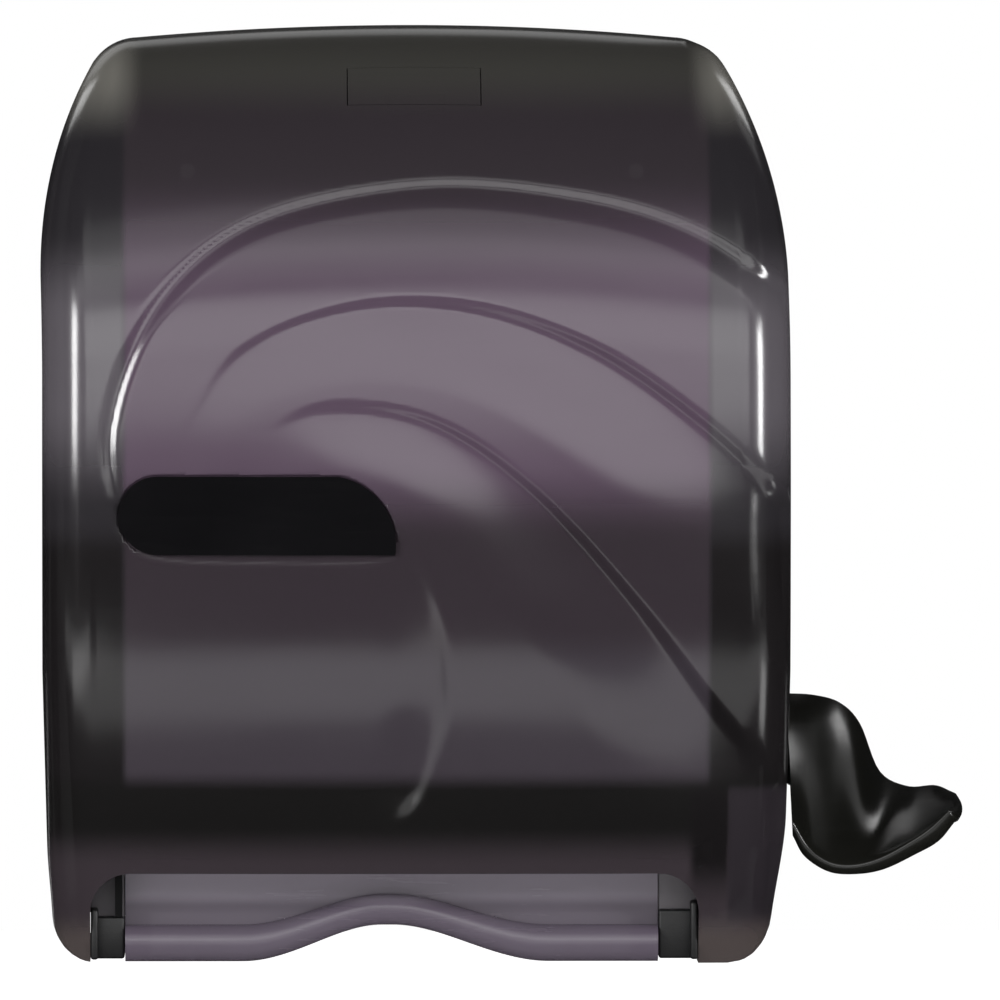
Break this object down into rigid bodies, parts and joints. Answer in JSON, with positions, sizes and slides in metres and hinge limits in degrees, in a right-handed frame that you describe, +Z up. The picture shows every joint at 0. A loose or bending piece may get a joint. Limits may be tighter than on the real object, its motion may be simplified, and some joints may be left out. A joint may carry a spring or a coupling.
{
  "type": "paper towel dispenser",
  "caption": "Wall-mounted lever paper towel dispenser: smoky bottom-hinged cover with moulded waves over a roll chassis, a geared side lever, feed rollers, tear bar and arched chute.",
  "frame": {"origin": "middle of the four wall screws, on the wall plane behind the back plate", "axes": "+X to the right as a user faces it, +Y into the wall, +Z up; the dispenser is in front of the wall, towards -Y"},
  "size_m": [0.3181, 0.2166, 0.324],
  "materials": {
    "cover_smoke": "smoky translucent moulding, satin gloss",
    "badge_black": "gloss black plate, bare",
    "chassis_black": "black moulding, fine texture",
    "plate_grey": "grey moulding",
    "chute_smoke": "lighter smoky moulding",
    "lever_black": "high gloss black",
    "roller_grey": "grey moulding",
    "rubber_black": "matt rubber",
    "acetal_white": "natural acetal",
    "steel_bright": "bright steel"
  },
  "bodies": {
    "chassis": {"back_plate": "plate_grey", "side_frame_right": "chassis_black", "side_frame_left": "chassis_black", "hinge_bracket_right": "chassis_black", "hinge_pin_right": "steel_bright", "hinge_pin_left": "steel_bright", "front_guard": "chassis_black", "tear_bar_screws": "steel_bright", "tear_bar": "steel_bright", "paper_stripper": "chassis_black", "chute_panel": "chute_smoke", "chute_bracket_left": "chassis_black", "chute_bracket_right": "chassis_black", "arm_pin_right": "steel_bright", "arm_pin_left": "steel_bright", "arm_spring_right": "steel_bright", "arm_spring_left": "steel_bright", "feed_bush_right": "acetal_white", "feed_bush_left": "acetal_white", "carrier_pin_right": "steel_bright", "carrier_pin_left": "steel_bright", "carrier_spring_right": "steel_bright", "carrier_spring_left": "steel_bright", "stop_bumper_rest": "rubber_black", "stop_bumper_full": "rubber_black", "gear_cover": "chassis_black", "gear_cover_screws": "steel_bright", "frame_screws": "steel_bright", "lever_bush_inner": "acetal_white", "lever_bush_outer": "acetal_white", "idler_pin": "steel_bright", "return_spring": "steel_bright"},
    "cover": {"cover_shell": "cover_smoke", "badge_plate": "badge_black", "latch_pin": "steel_bright", "latch_spring": "steel_bright"},
    "tab": {"push_tab": "cover_smoke"},
    "rocker": {"latch_rocker": "chassis_black"},
    "lever": {"lever_paddle": "lever_black", "lever_shaft": "steel_bright", "sector_gear": "acetal_white", "lever_cross_pin": "steel_bright"},
    "idler": {"idler_gear": "acetal_white"},
    "pinion": {"drive_pinion": "acetal_white", "clutch_spring": "steel_bright"},
    "feed": {"feed_core": "roller_grey", "feed_shaft": "steel_bright", "grip_sleeves": "rubber_black", "thumb_wheel": "chassis_black"},
    "carrier": {"pinch_carrier": "chassis_black", "pinch_shaft": "steel_bright"},
    "pinch": {"pinch_roller": "roller_grey"},
    "arm_right": {"roll_arm_right": "chassis_black"},
    "arm_left": {"roll_arm_left": "chassis_black"},
    "hub_right": {"roll_hub_right": "roller_grey"},
    "hub_left": {"roll_hub_left": "roller_grey"}
  },
  "joints": [
    {"name": "cover_hinge", "type": "hinge", "parent": "chassis", "child": "cover", "pos_m": [0, -0.07, -0.148], "axis": [1, 0, 0], "range_deg": [0, 95]},
    {"name": "push_tab", "type": "hinge", "parent": "cover", "child": "tab", "pos_m": [0, -0.15963, 0.14715], "axis": [1, 0, 0], "range_deg": [0, 6], "stiffness_Nm_per_rad": 0.05, "springref_deg": -11.46},
    {"name": "latch_rocker", "type": "hinge", "parent": "cover", "child": "rocker", "pos_m": [0, -0.1, 0.153], "axis": [1, 0, 0], "range_deg": [0, 2.4], "deforming": ["latch_spring"]},
    {"name": "lever_swing", "type": "hinge", "parent": "chassis", "child": "lever", "pos_m": [0, -0.08449, -0.09016], "axis": [1, 0, 0], "range_deg": [0, 42], "stiffness_Nm_per_rad": 0.15, "springref_deg": -57.3},
    {"name": "idler_spin", "type": "hinge", "parent": "chassis", "child": "idler", "pos_m": [0, -0.14026, -0.06763], "axis": [1, 0, 0], "range_deg": [-168, 0]},
    {"name": "pinion_spin", "type": "hinge", "parent": "chassis", "child": "pinion", "pos_m": [0, -0.15, -0.104], "axis": [1, 0, 0], "range_deg": [0, 357]},
    {"name": "feed_spin", "type": "hinge", "parent": "chassis", "child": "feed", "pos_m": [0, -0.15, -0.104], "axis": [1, 0, 0], "continuous": true},
    {"name": "carrier_swing", "type": "hinge", "parent": "chassis", "child": "carrier", "pos_m": [0, -0.176, -0.08805], "axis": [1, 0, 0], "range_deg": [-5, 0], "stiffness_Nm_per_rad": 1, "springref_deg": 14.32},
    {"name": "pinch_spin", "type": "hinge", "parent": "carrier", "child": "pinch", "pos_m": [0, -0.173, -0.10805], "axis": [1, 0, 0], "continuous": true},
    {"name": "arm_right_swing", "type": "hinge", "parent": "chassis", "child": "arm_right", "pos_m": [0.1062, -0.014, 0.048], "axis": [0, 0, 1], "range_deg": [0, 8], "stiffness_Nm_per_rad": 0.4, "springref_deg": -17.19},
    {"name": "hub_right_spin", "type": "hinge", "parent": "arm_right", "child": "hub_right", "pos_m": [0.102, -0.1055, 0.048], "axis": [1, 0, 0], "continuous": true},
    {"name": "arm_left_swing", "type": "hinge", "parent": "chassis", "child": "arm_left", "pos_m": [-0.1062, -0.014, 0.048], "axis": [0, 0, -1], "range_deg": [0, 8], "stiffness_Nm_per_rad": 0.4, "springref_deg": -17.19},
    {"name": "hub_left_spin", "type": "hinge", "parent": "arm_left", "child": "hub_left", "pos_m": [-0.102, -0.1055, 0.048], "axis": [1, 0, 0], "continuous": true}
  ],
  "couplings": [
    {"joint": "latch_rocker", "follows": "push_tab", "ratio": 0.4},
    {"joint": "idler_spin", "follows": "lever_swing", "ratio": -4},
    {"joint": "pinion_spin", "follows": "lever_swing", "ratio": 8.5},
    {"joint": "pinch_spin", "follows": "feed_spin", "ratio": -1.875}
  ]
}
